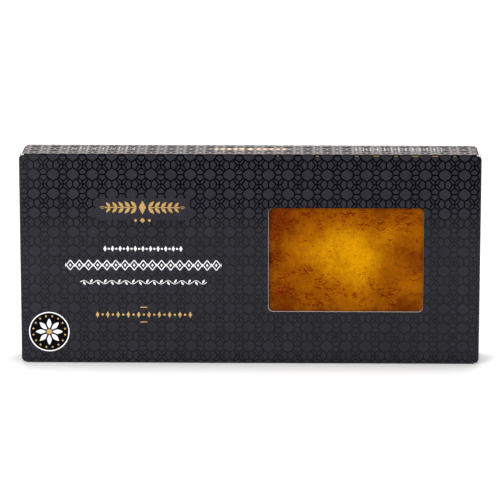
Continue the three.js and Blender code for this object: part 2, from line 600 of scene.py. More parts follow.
def add_dust_flap(bm, side, up, settings):
    """Folds a short flap from the top or the underside in behind the other two."""
    start = wall_end(settings)
    level = TOP if up > 0 else UNDERSIDE
    edges = open_end(bm, side * start, 2, level)
    centre = (side * start, 0, level - up * settings.fold)
    edges = turn_on(bm, edges, centre, (0, 1, 0), side * up * QUARTER_TURN)
    run_flap(bm, edges, DUST_FLAP, (0, 0, -up), 1, 0.0, DEPTH / 2)


def carton_sheet(settings):
    """The folded blank as a sheet without thickness: four long walls, the window and both ends' flaps."""
    bm = bmesh.new()
    start = wall_end(settings)
    made = bmesh.ops.create_cube(bm, size=1.0)["verts"]
    place = Matrix.Translation((0, (FRONT + BACK) / 2, TOP / 2)) @ Matrix.Diagonal(
        (2 * start, BACK - FRONT, TOP - UNDERSIDE, 1)
    )
    bmesh.ops.transform(bm, matrix=place, verts=made)
    ends = [f for f in bm.faces if abs(f.normal.x) > 0.9]
    bmesh.ops.delete(bm, geom=ends, context="FACES_ONLY")
    long_edges = [e for e in bm.edges if abs((e.verts[0].co - e.verts[1].co).x) > start]
    bmesh.ops.bevel(
        bm, geom=long_edges, offset=settings.fold, offset_type="OFFSET", segments=FOLD_STEPS, profile=0.5,
        affect="EDGES", material=-1,
    )
    for side in (1, -1):
        add_front_flap(bm, side, settings)
        add_back_flap(bm, side, settings)
        for up in (1, -1):
            add_dust_flap(bm, side, up, settings)
    cut_window(bm, settings)
    bmesh.ops.recalc_face_normals(bm, faces=bm.faces)
    return bm


def cut_window(bm, settings):
    """Replaces the front wall by one with the window left out."""
    facing_front = (f for f in bm.faces if abs(f.normal.y) > 0.9 and f.calc_center_median().y < 0)
    front = max(facing_front, key=lambda f: f.calc_area())
    rim = list(front.edges)
    bmesh.ops.delete(bm, geom=[front], context="FACES_ONLY")
    hole = window_loop(bm, WINDOW_LOW, WINDOW_HIGH, settings.window_round, FRONT)
    bmesh.ops.triangle_fill(bm, use_beauty=True, edges=rim + hole, normal=(0, -1, 0))


def flatten_print(bm):
    """Gives each face its place on the unfolded blank, in metres, as the map that the print follows."""
    layer = bm.loops.layers.uv.new("print")
    for face in bm.faces:
        for corner in face.loops:
            corner[layer].uv = unfolded(corner.vert.co, face.normal)


def unfolded(point, normal):
    """Where a point of the folded carton lies on the flat blank. The front keeps its X and Z."""
    behind = point.y - FRONT
    if abs(normal.x) > max(abs(normal.y), abs(normal.z)):
        return (math.copysign(SIDE + behind, normal.x), point.z)
    if abs(normal.z) > abs(normal.y):
        return (point.x, TOP + behind if normal.z > 0 else -behind)
    return (point.x, point.z if normal.y < 0 else TOP + DEPTH + TOP - point.z)


class NOUGAT_OT_carton(bpy.types.Operator):
    """Make the folded carton, with its cut edges"""

    bl_idname = "nougat.carton"
    bl_label = "Carton"

    def execute(self, context):
        settings = context.scene.nougat_carton
        bm = carton_sheet(settings)
        flatten_print(bm)
        materials = [
            printed_board_material(settings),
            paper_material("board_inside", (0.60, 0.58, 0.55), 0.8),
            paper_material("board_core", settings.core_colour, 0.85),
        ]
        carton = new_piece("folded_carton", bm, materials)
        wall = carton.modifiers.new("board", "SOLIDIFY")
        wall.thickness = settings.board
        wall.offset = -1.0
        wall.use_even_offset = True
        wall.material_offset = 1
        wall.material_offset_rim = 2
        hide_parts("carton")
        return {"FINISHED"}


# The cut edge: how far its inner rim shows at the lower left and at the upper right, and its depth in boards
EDGE_SHOWN_LOW = Vector((0.12 * MM, 0, 0.12 * MM))
EDGE_SHOWN_HIGH = Vector((0.02 * MM, 0, 0.02 * MM))
EDGE_DEPTH = 0.6


class NOUGAT_OT_window_edge(bpy.types.Operator):
    """Make the white edge where the window was cut"""

    bl_idname = "nougat.window_edge"
    bl_label = "Window edge"

    def execute(self, context):
        settings = context.scene.nougat_carton
        bm = bmesh.new()
        outer = window_loop(bm, WINDOW_LOW, WINDOW_HIGH, settings.window_round, FRONT + NEAR)
        low, high = WINDOW_LOW + EDGE_SHOWN_LOW, WINDOW_HIGH - EDGE_SHOWN_HIGH
        inner = window_loop(bm, low, high, settings.window_round, FRONT + settings.board * EDGE_DEPTH)
        bmesh.ops.bridge_loops(bm, edges=outer + inner)
        bmesh.ops.recalc_face_normals(bm, faces=bm.faces)
        bm.faces.ensure_lookup_table()
        if bm.faces[0].normal.y > 0:
            bmesh.ops.reverse_faces(bm, faces=bm.faces)
        material = paper_material("window_edge", settings.edge_colour, 0.85)
        edge = new_piece("window_cut_edge", bm, [material])
        return {"FINISHED"}


# Film

# How strongly the film bends light, which sets how much it mirrors
FILM_IOR = 1.05


def film_material():
    """Clear film: it lets the view through and mirrors more at a slant."""
    material, tree, shader = new_material("clear_film")
    set_inputs(shader, {"Base Color": (0.98, 0.98, 0.98, 1.0), "Metallic": 1.0, "Roughness": 0.08})
    add_bump(tree, shader, noise_at(tree, object_place(tree), 60.0, detail=1.0), 0.25 * MM, 1.0)
    see_through = add_node(tree, "ShaderNodeBsdfTransparent", (0.985, 0.98, 0.97, 1.0))
    mirror = add_node(tree, "ShaderNodeFresnel", FILM_IOR)
    parts = (mirror.outputs[0], see_through.outputs[0], shader.outputs[0])
    mixed = add_node(tree, "ShaderNodeMixShader", *parts)
    feed(tree, tree.nodes["Material Output"].inputs["Surface"], mixed.outputs[0])
    return material


# The film's ripple: its height, and how often it comes in a metre
RIPPLE = 0.06 * MM
RIPPLES = 40


class NOUGAT_OT_film(bpy.types.Operator):
    """Make the clear film behind the window"""

    bl_idname = "nougat.film"
    bl_label = "Window film"

    def execute(self, context):
        bm = bmesh.new()
        made = bmesh.ops.create_grid(bm, x_segments=24, y_segments=16, size=0.5)["verts"]
        place = upright((FILM_LOW + FILM_HIGH) / 2, FILM_HIGH - FILM_LOW)
        bmesh.ops.transform(bm, matrix=place, verts=made)
        for vertex in bm.verts:
            vertex.co.y += RIPPLE * noise.noise(vertex.co * RIPPLES)
        film = new_piece("clear_window_film", bm, [film_material()])
        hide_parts("window_film")
        return {"FINISHED"}


# Nougat


# Paler and darker parts of the face, added to a base that is the same all over. They are partly uneven toast
# and partly painted light: a painted pool of light over the middle of the window and painted shade towards
# its rim:
# middle in X and Z and radius in millimetres, and how much lighter or darker
LIGHT_SHADE_TOAST_BASE = 0.26
LIGHT_SHADE_TOAST_PATCHES = (
    (41.0, 49.5, 28.0, 0.28),
    (43.0, 53.5, 13.0, 0.32),
    (48.5, 49.5, 11.0, 0.18),
    (49.0, 42.0, 11.5, 0.38),
    (46.5, 37.0, 8.0, 0.08),
    (24.5, 50.5, 13.0, 0.20),
    (33.0, 52.5, 10.0, 0.14),
    (57.0, 49.5, 9.0, 0.14),
    (33.0, 45.0, 11.0, 0.18),
    (38.5, 40.5, 9.0, 0.16),
    (60.0, 58.0, 9.0, 0.27),
    (70.0, 58.0, 10.0, 0.16),
    (46.0, 29.0, 12.0, 0.20),
    (70.0, 35.0, 8.0, 0.20),
    (68.0, 51.5, 10.0, -0.10),
    (12.0, 64.0, 14.0, -0.26),
    (8.5, 47.0, 9.0, -0.18),
    (14.0, 26.5, 13.0, -0.22),
    (31.0, 22.0, 8.0, -0.08),
    (52.0, 22.0, 8.0, -0.08),
    (68.0, 24.0, 10.0, -0.26),
    (30.0, 71.0, 14.0, -0.11),
    (54.0, 71.0, 14.0, -0.15),
    (78.0, 46.0, 12.0, -0.20),
)

# Where the burnt wrinkles crowd: middle in X and Z and radius in millimetres, and how many more there are
CROWDS = (
    (12.0, 64.0, 10.0, 0.85),
    (10.0, 57.0, 6.0, 0.55),
    (40.0, 65.5, 8.0, 0.60),
    (56.5, 62.0, 6.0, 0.50),
    (66.0, 64.5, 9.0, 0.65),
    (11.0, 47.0, 8.0, 0.75),
    (23.5, 41.5, 6.0, 0.65),
    (14.5, 33.0, 10.0, 0.65),
    (35.0, 33.5, 10.0, 0.36),
    (61.0, 30.0, 8.0, 0.58),
    (70.0, 40.5, 6.0, 0.45),
    (28.0, 27.0, 9.0, 0.35),
    (22.0, 66.0, 8.0, 0.45),
    (31.0, 63.5, 7.0, 0.40),
    (49.0, 65.5, 6.0, 0.40),
    (76.0, 62.0, 7.0, 0.45),
    (46.0, 29.0, 8.0, 0.32),
    (53.0, 35.5, 6.0, 0.30),
)

# Wrinkles in three sizes, and specks: pitch of their cells, length and width in millimetres,
# a shift that gives each size cells of its own, and how much it is thinned out
WRINKLES = (
    (3.6, 4.2, 0.56, 3.3, 0.53),
    (2.4, 2.7, 0.48, 17.7, 0.51),
    (1.7, 1.7, 0.42, 41.2, 0.47),
    (1.05, 0.7, 0.38, 90.6, 0.36),
)

# Slant and bend of a wrinkle: the chance that gives none, and how much a chance either side of it gives
SLANT = (0.42, 1.4)
BEND = (0.45, 1.7)


def sum_of_patches(tree, place, patches, base):
    """A base value with round, soft patches added to it."""
    total = base
    for x, y, radius, strength in patches:
        away = measure(tree, "DISTANCE", place, (x * MM, y * MM, 0.0))
        total = number(tree, "ADD", total, ramp(tree, away, 0.0, radius * MM, strength, 0.0))
    return total


def wander(tree, place, scale, reach):
    """Shifts a place by noise, so that what follows it isn't straight."""
    drift = add_node(tree, "ShaderNodeTexNoise")
    feed(tree, drift.inputs["Vector"], place)
    set_inputs(drift, {"Scale": scale, "Detail": 2.0})
    centred = vector(tree, "SUBTRACT", drift.outputs["Color"], (0.5, 0.5, 0.5))
    shifted = vector(tree, "ADD", place, scaled(tree, centred, reach))
    return vector(tree, "MULTIPLY", shifted, (1.0, 1.0, 0.0))


def either_way(tree, chance, none_at, amount):
    """Turns a chance between 0 and 1 into an amount that is none at one chance and has both signs."""
    return number(tree, "MULTIPLY", number(tree, "SUBTRACT", chance, none_at), amount)


def wrinkles(tree, place, pitch, length, width, shift, thinned):
    """Short arcs, at most one in each cell of the pitch, each with its own slant and bend."""
    cells = add_node(tree, "ShaderNodeTexVoronoi", voronoi_dimensions="2D", feature="F1")
    in_cells = vector(tree, "DIVIDE", place, (pitch, pitch, 1.0))
    in_cells = vector(tree, "ADD", in_cells, (shift, -shift, 0.0))
    feed(tree, cells.inputs["Vector"], in_cells)
    cells.inputs["Scale"].default_value = 1.0
    middle_in_cells = cells.outputs["Position"]
    slant, sparing, curl = add_node(tree, "ShaderNodeSeparateColor", cells.outputs["Color"]).outputs
    turned = add_node(tree, "ShaderNodeVectorRotate", rotation_type="Z_AXIS")
    feed(tree, turned.inputs["Vector"], vector(tree, "SUBTRACT", in_cells, middle_in_cells))
    feed(tree, turned.inputs["Angle"], either_way(tree, slant, *SLANT))
    parts = add_node(tree, "ShaderNodeSeparateXYZ", turned.outputs[0])
    along = parts.outputs["X"]
    sag = combine(tree, "MULTIPLY", (along, along, either_way(tree, curl, *BEND)))
    across = number(tree, "ABSOLUTE", number(tree, "SUBTRACT", parts.outputs["Y"], sag))
    stroke = soft_line(tree, across, width / pitch / 2, 0.5, 1.5)
    ends = soft_line(tree, number(tree, "ABSOLUTE", along), length / pitch / 2, 0.45, 1.0)
    middle = vector(tree, "SUBTRACT", middle_in_cells, (shift, -shift, 0.0))
    middle = vector(tree, "MULTIPLY", middle, (pitch, pitch, 0.0))
    crowd = sum_of_patches(tree, middle, CROWDS, -thinned)
    crowd = number(tree, "ADD", crowd, noise_at(tree, middle, 190.0, detail=1.0))
    present = ramp(tree, number(tree, "SUBTRACT", crowd, sparing), 0.0, 0.12)
    return combine(tree, "MULTIPLY", (stroke, ends, present))


def burnt_strokes(tree, flat):
    """Wrinkles and specks of burnt sugar, each frayed a little by noise."""
    frayed = wander(tree, wander(tree, flat, 650.0, 0.9 * MM), 1700.0, 0.35 * MM)
    sizes = [
        wrinkles(tree, frayed, pitch * MM, length * MM, width * MM, shift, thinned)
        for pitch, length, width, shift, thinned in WRINKLES
    ]
    return combine(tree, "MAXIMUM", sizes)


def nougat_material(settings):
    """Golden nougat whose sugar crust turns amber and brown towards the window's rim, partly toast and partly
    painted shade, with a painted pool of light in the middle and wrinkles of burnt sugar.
    """
    material, tree, shader = new_material("toasted_nougat")
    place = object_place(tree)
    parts = add_node(tree, "ShaderNodeSeparateXYZ", place)
    flat = add_node(tree, "ShaderNodeCombineXYZ", parts.outputs["X"], parts.outputs["Z"], 0.0).outputs[0]
    # Painted light and shade mixed with toast: paler in a painted pool of light over the window's middle,
    # darker towards its rim
    light_shade_toast = sum_of_patches(tree, wander(tree, flat, 150.0, 5.0 * MM), LIGHT_SHADE_TOAST_PATCHES, LIGHT_SHADE_TOAST_BASE)
    cloud = number(tree, "SUBTRACT", noise_at(tree, flat, 280.0, detail=6.0, roughness=0.7), 0.5)
    light_shade_toast = number(tree, "ADD", light_shade_toast, number(tree, "MULTIPLY", cloud, 0.75))
    low = blend_colours(tree, ramp(tree, light_shade_toast, 0.0, 0.45), settings.brown, settings.toast)
    colour = blend_colours(tree, ramp(tree, light_shade_toast, 0.35, 1.05), low, settings.yolk)
    burnt = burnt_strokes(tree, flat)
    colour = blend_colours(tree, number(tree, "MULTIPLY", burnt, 0.86), colour, settings.burnt)
    grain = noise_at(tree, place, 1700.0)
    shaded = scaled(tree, colour, ramp(tree, grain, *GRAIN_SPAN, 0.84, 1.14))
    feed(tree, shader.inputs["Base Color"], shaded)
    set_inputs(shader, {"Roughness": 0.5, "Specular IOR Level": 0.02})
    grains, hollows = number(tree, "MULTIPLY", grain, 0.3), number(tree, "MULTIPLY", burnt, 0.6)
    add_bump(tree, shader, number(tree, "SUBTRACT", grains, hollows), 0.15 * MM, 0.6)
    return material


# The face is cut finely behind the window and a little beyond it, and coarsely beside that
FINE_MARGIN = 4 * MM
FINE_STEP = 0.9 * MM
COARSE_STEP = 4 * MM

# Relief of the face: what lies all over, the small bumps and the broad swell, as shares of its height,
# and how often bumps and swell come in a metre
FLAT_SHARE, BUMP_SHARE, SWELL_SHARE = 0.4, 0.45, 0.6
BUMPS, SWELLS = 240, 45


class NOUGAT_OT_block(bpy.types.Operator):
    """Make the block of toasted nougat"""

    bl_idname = "nougat.block"
    bl_label = "Nougat block"

    def execute(self, context):
        settings = context.scene.nougat_block
        bm = bmesh.new()
        made = bmesh.ops.create_cube(bm, size=1.0)["verts"]
        size = BLOCK_HIGH - BLOCK_LOW
        place = Matrix.Translation((BLOCK_LOW + BLOCK_HIGH) / 2) @ Matrix.Diagonal((*size, 1))
        bmesh.ops.transform(bm, matrix=place, verts=made)
        bmesh.ops.bevel(
            bm, geom=bm.edges[:], offset=settings.edge_round, offset_type="OFFSET", segments=5, profile=0.5,
            affect="EDGES", material=-1,
        )
        for axis in (0, 2):
            cut_evenly(bm, axis, WINDOW_LOW[axis] - FINE_MARGIN, WINDOW_HIGH[axis] + FINE_MARGIN, FINE_STEP)
        cut_evenly(bm, 0, BLOCK_LOW.x + settings.edge_round, WINDOW_LOW.x - FINE_MARGIN, COARSE_STEP)
        for vertex in bm.verts:
            facing = max(0.0, -vertex.normal.y)
            bumps = noise.fractal(vertex.co * BUMPS, 1.0, 2.0, 3)
            swell = noise.noise(vertex.co * SWELLS)
            height = FLAT_SHARE + BUMP_SHARE * bumps + SWELL_SHARE * swell
            vertex.co.y += facing * settings.relief * height
        for face in bm.faces:
            face.smooth = True
        block = new_piece("toasted_block", bm, [nougat_material(settings)])
        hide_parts("nougat_block")
        return {"FINISHED"}


def cut_evenly(bm, axis, start, end, spacing):
    """Cuts a mesh by parallel planes across one axis."""
    count = math.ceil((end - start) / spacing)
    across = Vector((0, 0, 0))
    across[axis] = 1.0
    for step in range(count + 1):
        at = across * (start + (end - start) * step / count)
        geometry = bm.verts[:] + bm.edges[:] + bm.faces[:]
        bmesh.ops.bisect_plane(bm, geom=geometry, dist=0.001 * MM, plane_co=at, plane_no=across)


# Print


class Printing:
    """Collects flat shapes on one wall. Each is drawn in X and Y and raised along Z by the foil."""

    def __init__(self, wall, foil):
        self.bm = bmesh.new()
        self.wall = wall
        self.foil = foil

    def raise_shape(self, verts, place):
        """Turns a flat outline into a thin plate and puts it in its place."""
        faces = list({f for v in verts for f in v.link_faces})
        made = bmesh.ops.extrude_face_region(self.bm, geom=faces)["geom"]
        raised = [g for g in made if isinstance(g, bmesh.types.BMVert)]
        bmesh.ops.translate(self.bm, verts=raised, vec=(0, 0, self.foil))
        bmesh.ops.transform(self.bm, matrix=self.wall @ place, verts=list(set(verts) | set(raised)))

    def disc(self, x, y, radius, segments=20):
        """A round dot."""
        self.oval(x, y, radius, radius, 0.0, segments)

    def oval(self, x, y, half_x, half_y, angle=0.0, segments=20):
        """An ellipse, or with four segments a lozenge."""
        made = bmesh.ops.create_circle(self.bm, cap_ends=True, segments=segments, radius=1.0)["verts"]
        bmesh.ops.scale(self.bm, vec=(half_x, half_y, 1), verts=made)
        self.raise_shape(made, Matrix.Translation((x, y, 0)) @ Matrix.Rotation(angle, 4, "Z"))

    def lozenge(self, x, y, half_x, half_y):
        """A diamond that stands on its point."""
        self.oval(x, y, half_x, half_y, 0.0, 4)

    def bar(self, x, y, length, width, angle=0.0):
        """A straight stroke."""
        made = bmesh.ops.create_grid(self.bm, x_segments=1, y_segments=1, size=0.5)["verts"]
        bmesh.ops.scale(self.bm, vec=(length, width, 1), verts=made)
        self.raise_shape(made, Matrix.Translation((x, y, 0)) @ Matrix.Rotation(angle, 4, "Z"))

    def leaf(self, x, y, length, width, angle, segments=16):
        """A leaf whose stalk is at the point given, pointed at both ends."""
        made = bmesh.ops.create_circle(self.bm, cap_ends=True, segments=segments, radius=1.0)["verts"]
        for vertex in made:
            vertex.co.y *= (1 - abs(vertex.co.x)) ** 0.35
        bmesh.ops.scale(self.bm, vec=(length / 2, width / 2, 1), verts=made)
        bmesh.ops.translate(self.bm, vec=(length / 2, 0, 0), verts=made)
        self.raise_shape(made, Matrix.Translation((x, y, 0)) @ Matrix.Rotation(angle, 4, "Z"))

    def ring(self, x, y, radius, stroke, segments):
        """A stroke that follows a circle."""
        known = set(self.bm.verts)
        inner = self.bm.verts.new((radius - stroke / 2, 0, 0))
        outer = self.bm.verts.new((radius + stroke / 2, 0, 0))
        edge = self.bm.edges.new((inner, outer))
        bmesh.ops.spin(
            self.bm, geom=[inner, outer, edge], cent=(0, 0, 0), axis=(0, 0, 1), angle=math.tau,
            steps=segments, use_merge=True, use_duplicate=False,
        )
        made = [v for v in self.bm.verts if v not in known]
        self.raise_shape(made, Matrix.Translation((x, y, 0)))

    def finish(self, name, material):
        """Closes the collection as one piece."""
        bmesh.ops.recalc_face_normals(self.bm, faces=self.bm.faces)
        piece = new_piece(name, self.bm, [material])


# Walls that carry print. Each matrix turns the drawing's X, Y and Z to the wall's right, up and outward.
FRONT_WALL = Matrix.Translation((0, FRONT, 0)) @ Matrix.Rotation(QUARTER_TURN, 4, "X")
TOP_WALL = Matrix.Translation((0, 0, TOP))
BACK_WALL = Matrix.Rotation(math.pi, 4, "Z") @ FRONT_WALL

# The gold sprig's size, and its place on the front, on the top and on the back, from the wall's middle line
SPRIG = {"length": 37.0 * MM, "height": 6.6 * MM}
FRONT_SPRIG = (-46.6 * MM, 69.4 * MM)
TOP_SPRIG = (0.0, 1.0 * MM)
BACK_SPRIG = (0.0, 58.0 * MM)

# Three lozenges under the front's sprig: the middle one's place, the way between two, and their half sizes
TRIO = {"x": -46.6 * MM, "z": 63.7 * MM, "apart": 3.0 * MM, "halves": (0.75 * MM, 1.15 * MM, 0.75 * MM)}

# Rows of the front and the back: middle, length, how many beads, frames or waves, and how large they are
FIRST_ROW = {"x": -46.5 * MM, "z": 51.1 * MM, "length": 33.0 * MM, "count": 21, "size": 1.15 * MM}
BOLD_ROW = {"x": -46.4 * MM, "z": 43.8 * MM, "length": 67.5 * MM, "count": 17, "size": 4.5 * MM}
VINE_ROW = {"x": -46.4 * MM, "z": 36.2 * MM, "length": 55.0 * MM, "count": 9, "size": 3.6 * MM}
GOLD_ROW = {"x": -46.3 * MM, "z": 21.7 * MM, "length": 40.5 * MM, "count": 19, "size": 1.25 * MM}
BACK_BOLD_ROW = {**BOLD_ROW, "x": 0.0, "z": 45.0 * MM}
BACK_GOLD_ROW = {**GOLD_ROW, "x": 0.0, "z": 31.0 * MM}

# Dashes over and under the gold row: their heights, length and width
DASH_HEIGHTS = (25.0 * MM, 18.4 * MM)
DASH = (3.0 * MM, 0.42 * MM)

# White rows of the top: middle, length and size of bead of each block, the rows' places from back to front,
# and about how far apart two lozenges are
TOP_BLOCKS = ((64.5 * MM, 37.0 * MM, 0.6 * MM), (-64.0 * MM, 27.0 * MM, 0.45 * MM))
TOP_ROWS = (4.2 * MM, 1.2 * MM, -1.8 * MM)
TOP_BEAD_PITCH = 3.2 * MM

# Painted highlights along the top fold, made as short bars of gold foil: the first one's place, how far below
# the fold they lie, their width, and their lengths in millimetres, one for each cell of the lattice
PAINTED_GLINTS_START = 12.1 * MM
PAINTED_GLINTS_DROP = 0.62 * MM
PAINTED_GLINT_WIDTH = 0.22 * MM
PAINTED_GLINT_LENGTHS = (0.8, 0.0, 1.2, 0.0, 1.4, 2.6, 1.4, 3.0, 2.6, 1.2)

# Parts of the ornaments
LEAF_PAIRS = 5
LEAF_LEAN = math.radians(48)
FRAME_STROKE = 0.40 * MM
VINE_STROKE = 0.3 * MM
VINE_LEAF = (1.9 * MM, 0.9 * MM, math.radians(58))
STEPS_IN_WAVE = 8
SEAL_STEPS = 72
SEAL_BORDER = 0.2 * MM
SEAL_RING = 0.5 * MM
SEAL_RING_INSET = 0.28 * MM
SEAL_PETALS = 8
SEAL_DOTS = 16
SEAL_DOT = 0.5 * MM


def sprig(sheet, x, y, length, height):
    """A lozenge between two sprays of paired leaves."""
    sheet.lozenge(x, y, height * 0.24, height * 0.46)
    stem_start = height * 0.38
    stem = length / 2 - stem_start
    for side in (1, -1):
        sheet.bar(x + side * (stem_start + stem / 2), y, stem, height * 0.07)
        for pair in range(LEAF_PAIRS):
            share = pair / LEAF_PAIRS
            size = height * (0.56 - 0.14 * share)
            at = x + side * (stem_start + stem * share * 0.88)
            for lean in (LEAF_LEAN, -LEAF_LEAN):
                sheet.leaf(at, y, size, size * 0.42, lean if side > 0 else math.pi - lean)
        tip = x + side * (stem_start + stem * 0.86)
        sheet.leaf(tip, y, stem * 0.14, height * 0.2, 0 if side > 0 else math.pi)


def beaded_row(sheet, x, z, length, count, size):
    """Lozenges and dots by turns."""
    for step in range(count):
        at = x + length * (step / (count - 1) - 0.5)
        if step % 2:
            sheet.disc(at, z, size * 0.42, 12)
        else:
            sheet.lozenge(at, z, size * 0.62, size * 1.12)


def bold_row(sheet, x, z, length, count, size):
    """Framed lozenges side by side, with a small lozenge in each and one on each joint."""
    pitch = length / count
    half_x, half_y = pitch * 0.44, size / 2
    side = math.hypot(half_x, half_y)
    lean = math.atan2(half_y, half_x)
    for step in range(count):
        middle = x + pitch * (step + 0.5 - count / 2)
        for across in (1, -1):
            for up in (1, -1):
                place = (middle + across * half_x / 2, z + up * half_y / 2)
                sheet.bar(*place, side, FRAME_STROKE, -across * up * lean)
        sheet.lozenge(middle, z, pitch * 0.13, size * 0.17)
    for step in range(count + 1):
        sheet.lozenge(x + pitch * (step - count / 2), z, pitch * 0.07, size * 0.2)


def vine_row(sheet, x, z, length, count, size):
    """A thin stem that winds along the row in waves, with a leaf in each bend."""
    shares = [step / (count * STEPS_IN_WAVE) for step in range(count * STEPS_IN_WAVE + 1)]
    swing = size * 0.22
    points = [
        Vector((x + length * (share - 0.5), z + swing * math.sin(math.tau * count * share)))
        for share in shares
    ]
    for first, second in zip(points, points[1:]):
        along = second - first
        middle = (first + second) / 2
        sheet.bar(*middle, along.length * 1.12, VINE_STROKE, math.atan2(along.y, along.x))
    leaf_length, leaf_width, lean = VINE_LEAF
    for bend in range(count * 2):
        up = -1 if bend % 2 else 1
        at = x + length * ((bend + 0.5) / (count * 2) - 0.5) - VINE_STROKE
        sheet.leaf(at, z + up * size * 0.1, leaf_length, leaf_width, -up * lean)


def rosette(sheet, x, y, radius, petals):
    """A flower of pointed petals."""
    for petal in range(petals):
        angle = math.tau * petal / petals
        start = Vector((math.cos(angle), math.sin(angle))) * radius * 0.24
        sheet.leaf(x + start.x, y + start.y, radius * 0.76, radius * 0.34, angle)


class NOUGAT_OT_gold_print(bpy.types.Operator):
    """Make the gold ornaments of the front, and the painted highlights of gold foil under the top fold"""

    bl_idname = "nougat.gold_print"
    bl_label = "Gold print"

    def execute(self, context):
        settings = context.scene.nougat_print
        gold = foil_material(settings)
        sheet = Printing(FRONT_WALL, settings.foil)
        sprig(sheet, *FRONT_SPRIG, **SPRIG)
        for step, half in zip((-1, 0, 1), TRIO["halves"]):
            sheet.lozenge(TRIO["x"] + step * TRIO["apart"], TRIO["z"], half, half)
        for z in DASH_HEIGHTS:
            sheet.bar(GOLD_ROW["x"], z, *DASH)
        beaded_row(sheet, **GOLD_ROW)
        pitch = context.scene.nougat_carton.pitch
        # Painted highlights along the top fold, made as short bars of gold foil
        for cell, length in enumerate(PAINTED_GLINT_LENGTHS):
            if length:
                sheet.bar(PAINTED_GLINTS_START + cell * pitch, TOP - PAINTED_GLINTS_DROP, length * MM, PAINTED_GLINT_WIDTH)
        # The piece holds the painted highlights along the top fold as well as the ornaments
        sheet.finish("gold_ornaments", gold)
        return {"FINISHED"}


class NOUGAT_OT_white_print(bpy.types.Operator):
    """Make the white ornament rows of the front"""

    bl_idname = "nougat.white_print"
    bl_label = "White print"

    def execute(self, context):
        settings = context.scene.nougat_print
        white = ink_material(settings)
        sheet = Printing(FRONT_WALL, settings.foil)
        beaded_row(sheet, **FIRST_ROW)
        bold_row(sheet, **BOLD_ROW)
        vine_row(sheet, **VINE_ROW)
        sheet.finish("white_ornaments", white)
        return {"FINISHED"}


class NOUGAT_OT_seal(bpy.types.Operator):
    """Make the round seal at the lower left"""

    bl_idname = "nougat.seal"
    bl_label = "Seal"

    def execute(self, context):
        settings = context.scene.nougat_print
        white = bpy.data.materials["white_ink"]
        gold = bpy.data.materials["gold_foil"]
        x, z = SEAL_MIDDLE
        black = paper_material("seal_black", (0.0016, 0.0018, 0.0032), 0.6)
        black.node_tree.nodes["Principled BSDF"].inputs["Specular IOR Level"].default_value = 0.03
        sheet = Printing(FRONT_WALL, settings.foil * 0.5)
        sheet.disc(x, z, SEAL_RADIUS + SEAL_BORDER, SEAL_STEPS)
        sheet.finish("seal_ground", black)
        sheet = Printing(FRONT_WALL, settings.foil)
        sheet.ring(x, z, SEAL_RADIUS - SEAL_RING_INSET, SEAL_RING, SEAL_STEPS)
        rosette(sheet, x, z, SEAL_RADIUS * 0.66, SEAL_PETALS)
        sheet.finish("seal_ring_and_petals", white)
        sheet = Printing(FRONT_WALL, settings.foil)
        sheet.disc(x, z, SEAL_RADIUS * 0.13)
        reach = SEAL_RADIUS * 0.79
        for dot in range(SEAL_DOTS):
            angle = math.tau * (dot + 0.5) / SEAL_DOTS
            sheet.lozenge(x + reach * math.cos(angle), z + reach * math.sin(angle), SEAL_DOT, SEAL_DOT)
        sheet.finish("seal_gold_dots", gold)
        return {"FINISHED"}


class NOUGAT_OT_top_print(bpy.types.Operator):
    """Make the gold and white ornaments of the top"""

    bl_idname = "nougat.top_print"
    bl_label = "Top print"

    def execute(self, context):
        settings = context.scene.nougat_print
        sheet = Printing(TOP_WALL, settings.foil)
        sprig(sheet, *TOP_SPRIG, **SPRIG)
        sheet.finish("top_gold_ornament", bpy.data.materials["gold_foil"])
        sheet = Printing(TOP_WALL, settings.foil)
        for x, length, bead in TOP_BLOCKS:
            count = 2 * round(length / TOP_BEAD_PITCH) + 1
            for y in TOP_ROWS:
                beaded_row(sheet, x, y, length, count, bead)
        sheet.finish("top_white_ornaments", bpy.data.materials["white_ink"])
        return {"FINISHED"}


class NOUGAT_OT_back_print(bpy.types.Operator):
    """Make the gold and white ornaments of the back"""

    bl_idname = "nougat.back_print"
    bl_label = "Back print"

    def execute(self, context):
        settings = context.scene.nougat_print
        sheet = Printing(BACK_WALL, settings.foil)
        sprig(sheet, *BACK_SPRIG, **SPRIG)
        beaded_row(sheet, **BACK_GOLD_ROW)
        sheet.finish("back_gold_ornaments", bpy.data.materials["gold_foil"])
        sheet = Printing(BACK_WALL, settings.foil)
        bold_row(sheet, **BACK_BOLD_ROW)
        sheet.finish("back_white_ornaments", bpy.data.materials["white_ink"])
        return {"FINISHED"}


# Stage

# The surround as a light, and as what gloss mirrors, which also has a brighter band. In front it is dim.
WORLD_LIGHT = (0.5, 0.5, 0.5)
WORLD_MIRRORED = (0.80, 0.75, 0.71)
BAND_MIRRORED = 1.2
DIM_FRONT = 0.18

# Where the surround changes, as parts of a direction of length 1: from front to back in Y, and in Z
TO_BACK = (-0.35, 0.35)
TO_OVERHEAD = (0.35, 0.9)
BAND_STARTS = (0.06, 0.15)
BAND_ENDS = (0.28, 0.42)

# Soft lights: name, place, the point aimed at, width and height in metres, watts, and if gloss mirrors them
LIGHTS = (
    ("overhead", (0, 0.16, 1.8), (0, 0.05, 0), 0.45, 0.45, 19, True),
    ("far_floor", (0, 2.6, 1.8), (0, 2.0, 0), 2.8, 1.4, 60, False),
    ("right_strip", (1.3, -0.25, 0.45), (0.1, 0, 0.05), 0.25, 0.8, 8, True),
    ("front_left", (-0.9, -1.3, 1.1), (0, 0, 0.05), 0.8, 0.6, 16, True),
    ("front_right", (0.9, -1.3, 1.1), (0, 0, 0.05), 0.8, 0.6, 3, True),
    ("left_low", (-0.5, -0.25, 0.12), (-0.05, 0, 0.05), 0.25, 0.25, 1.3, True),
)

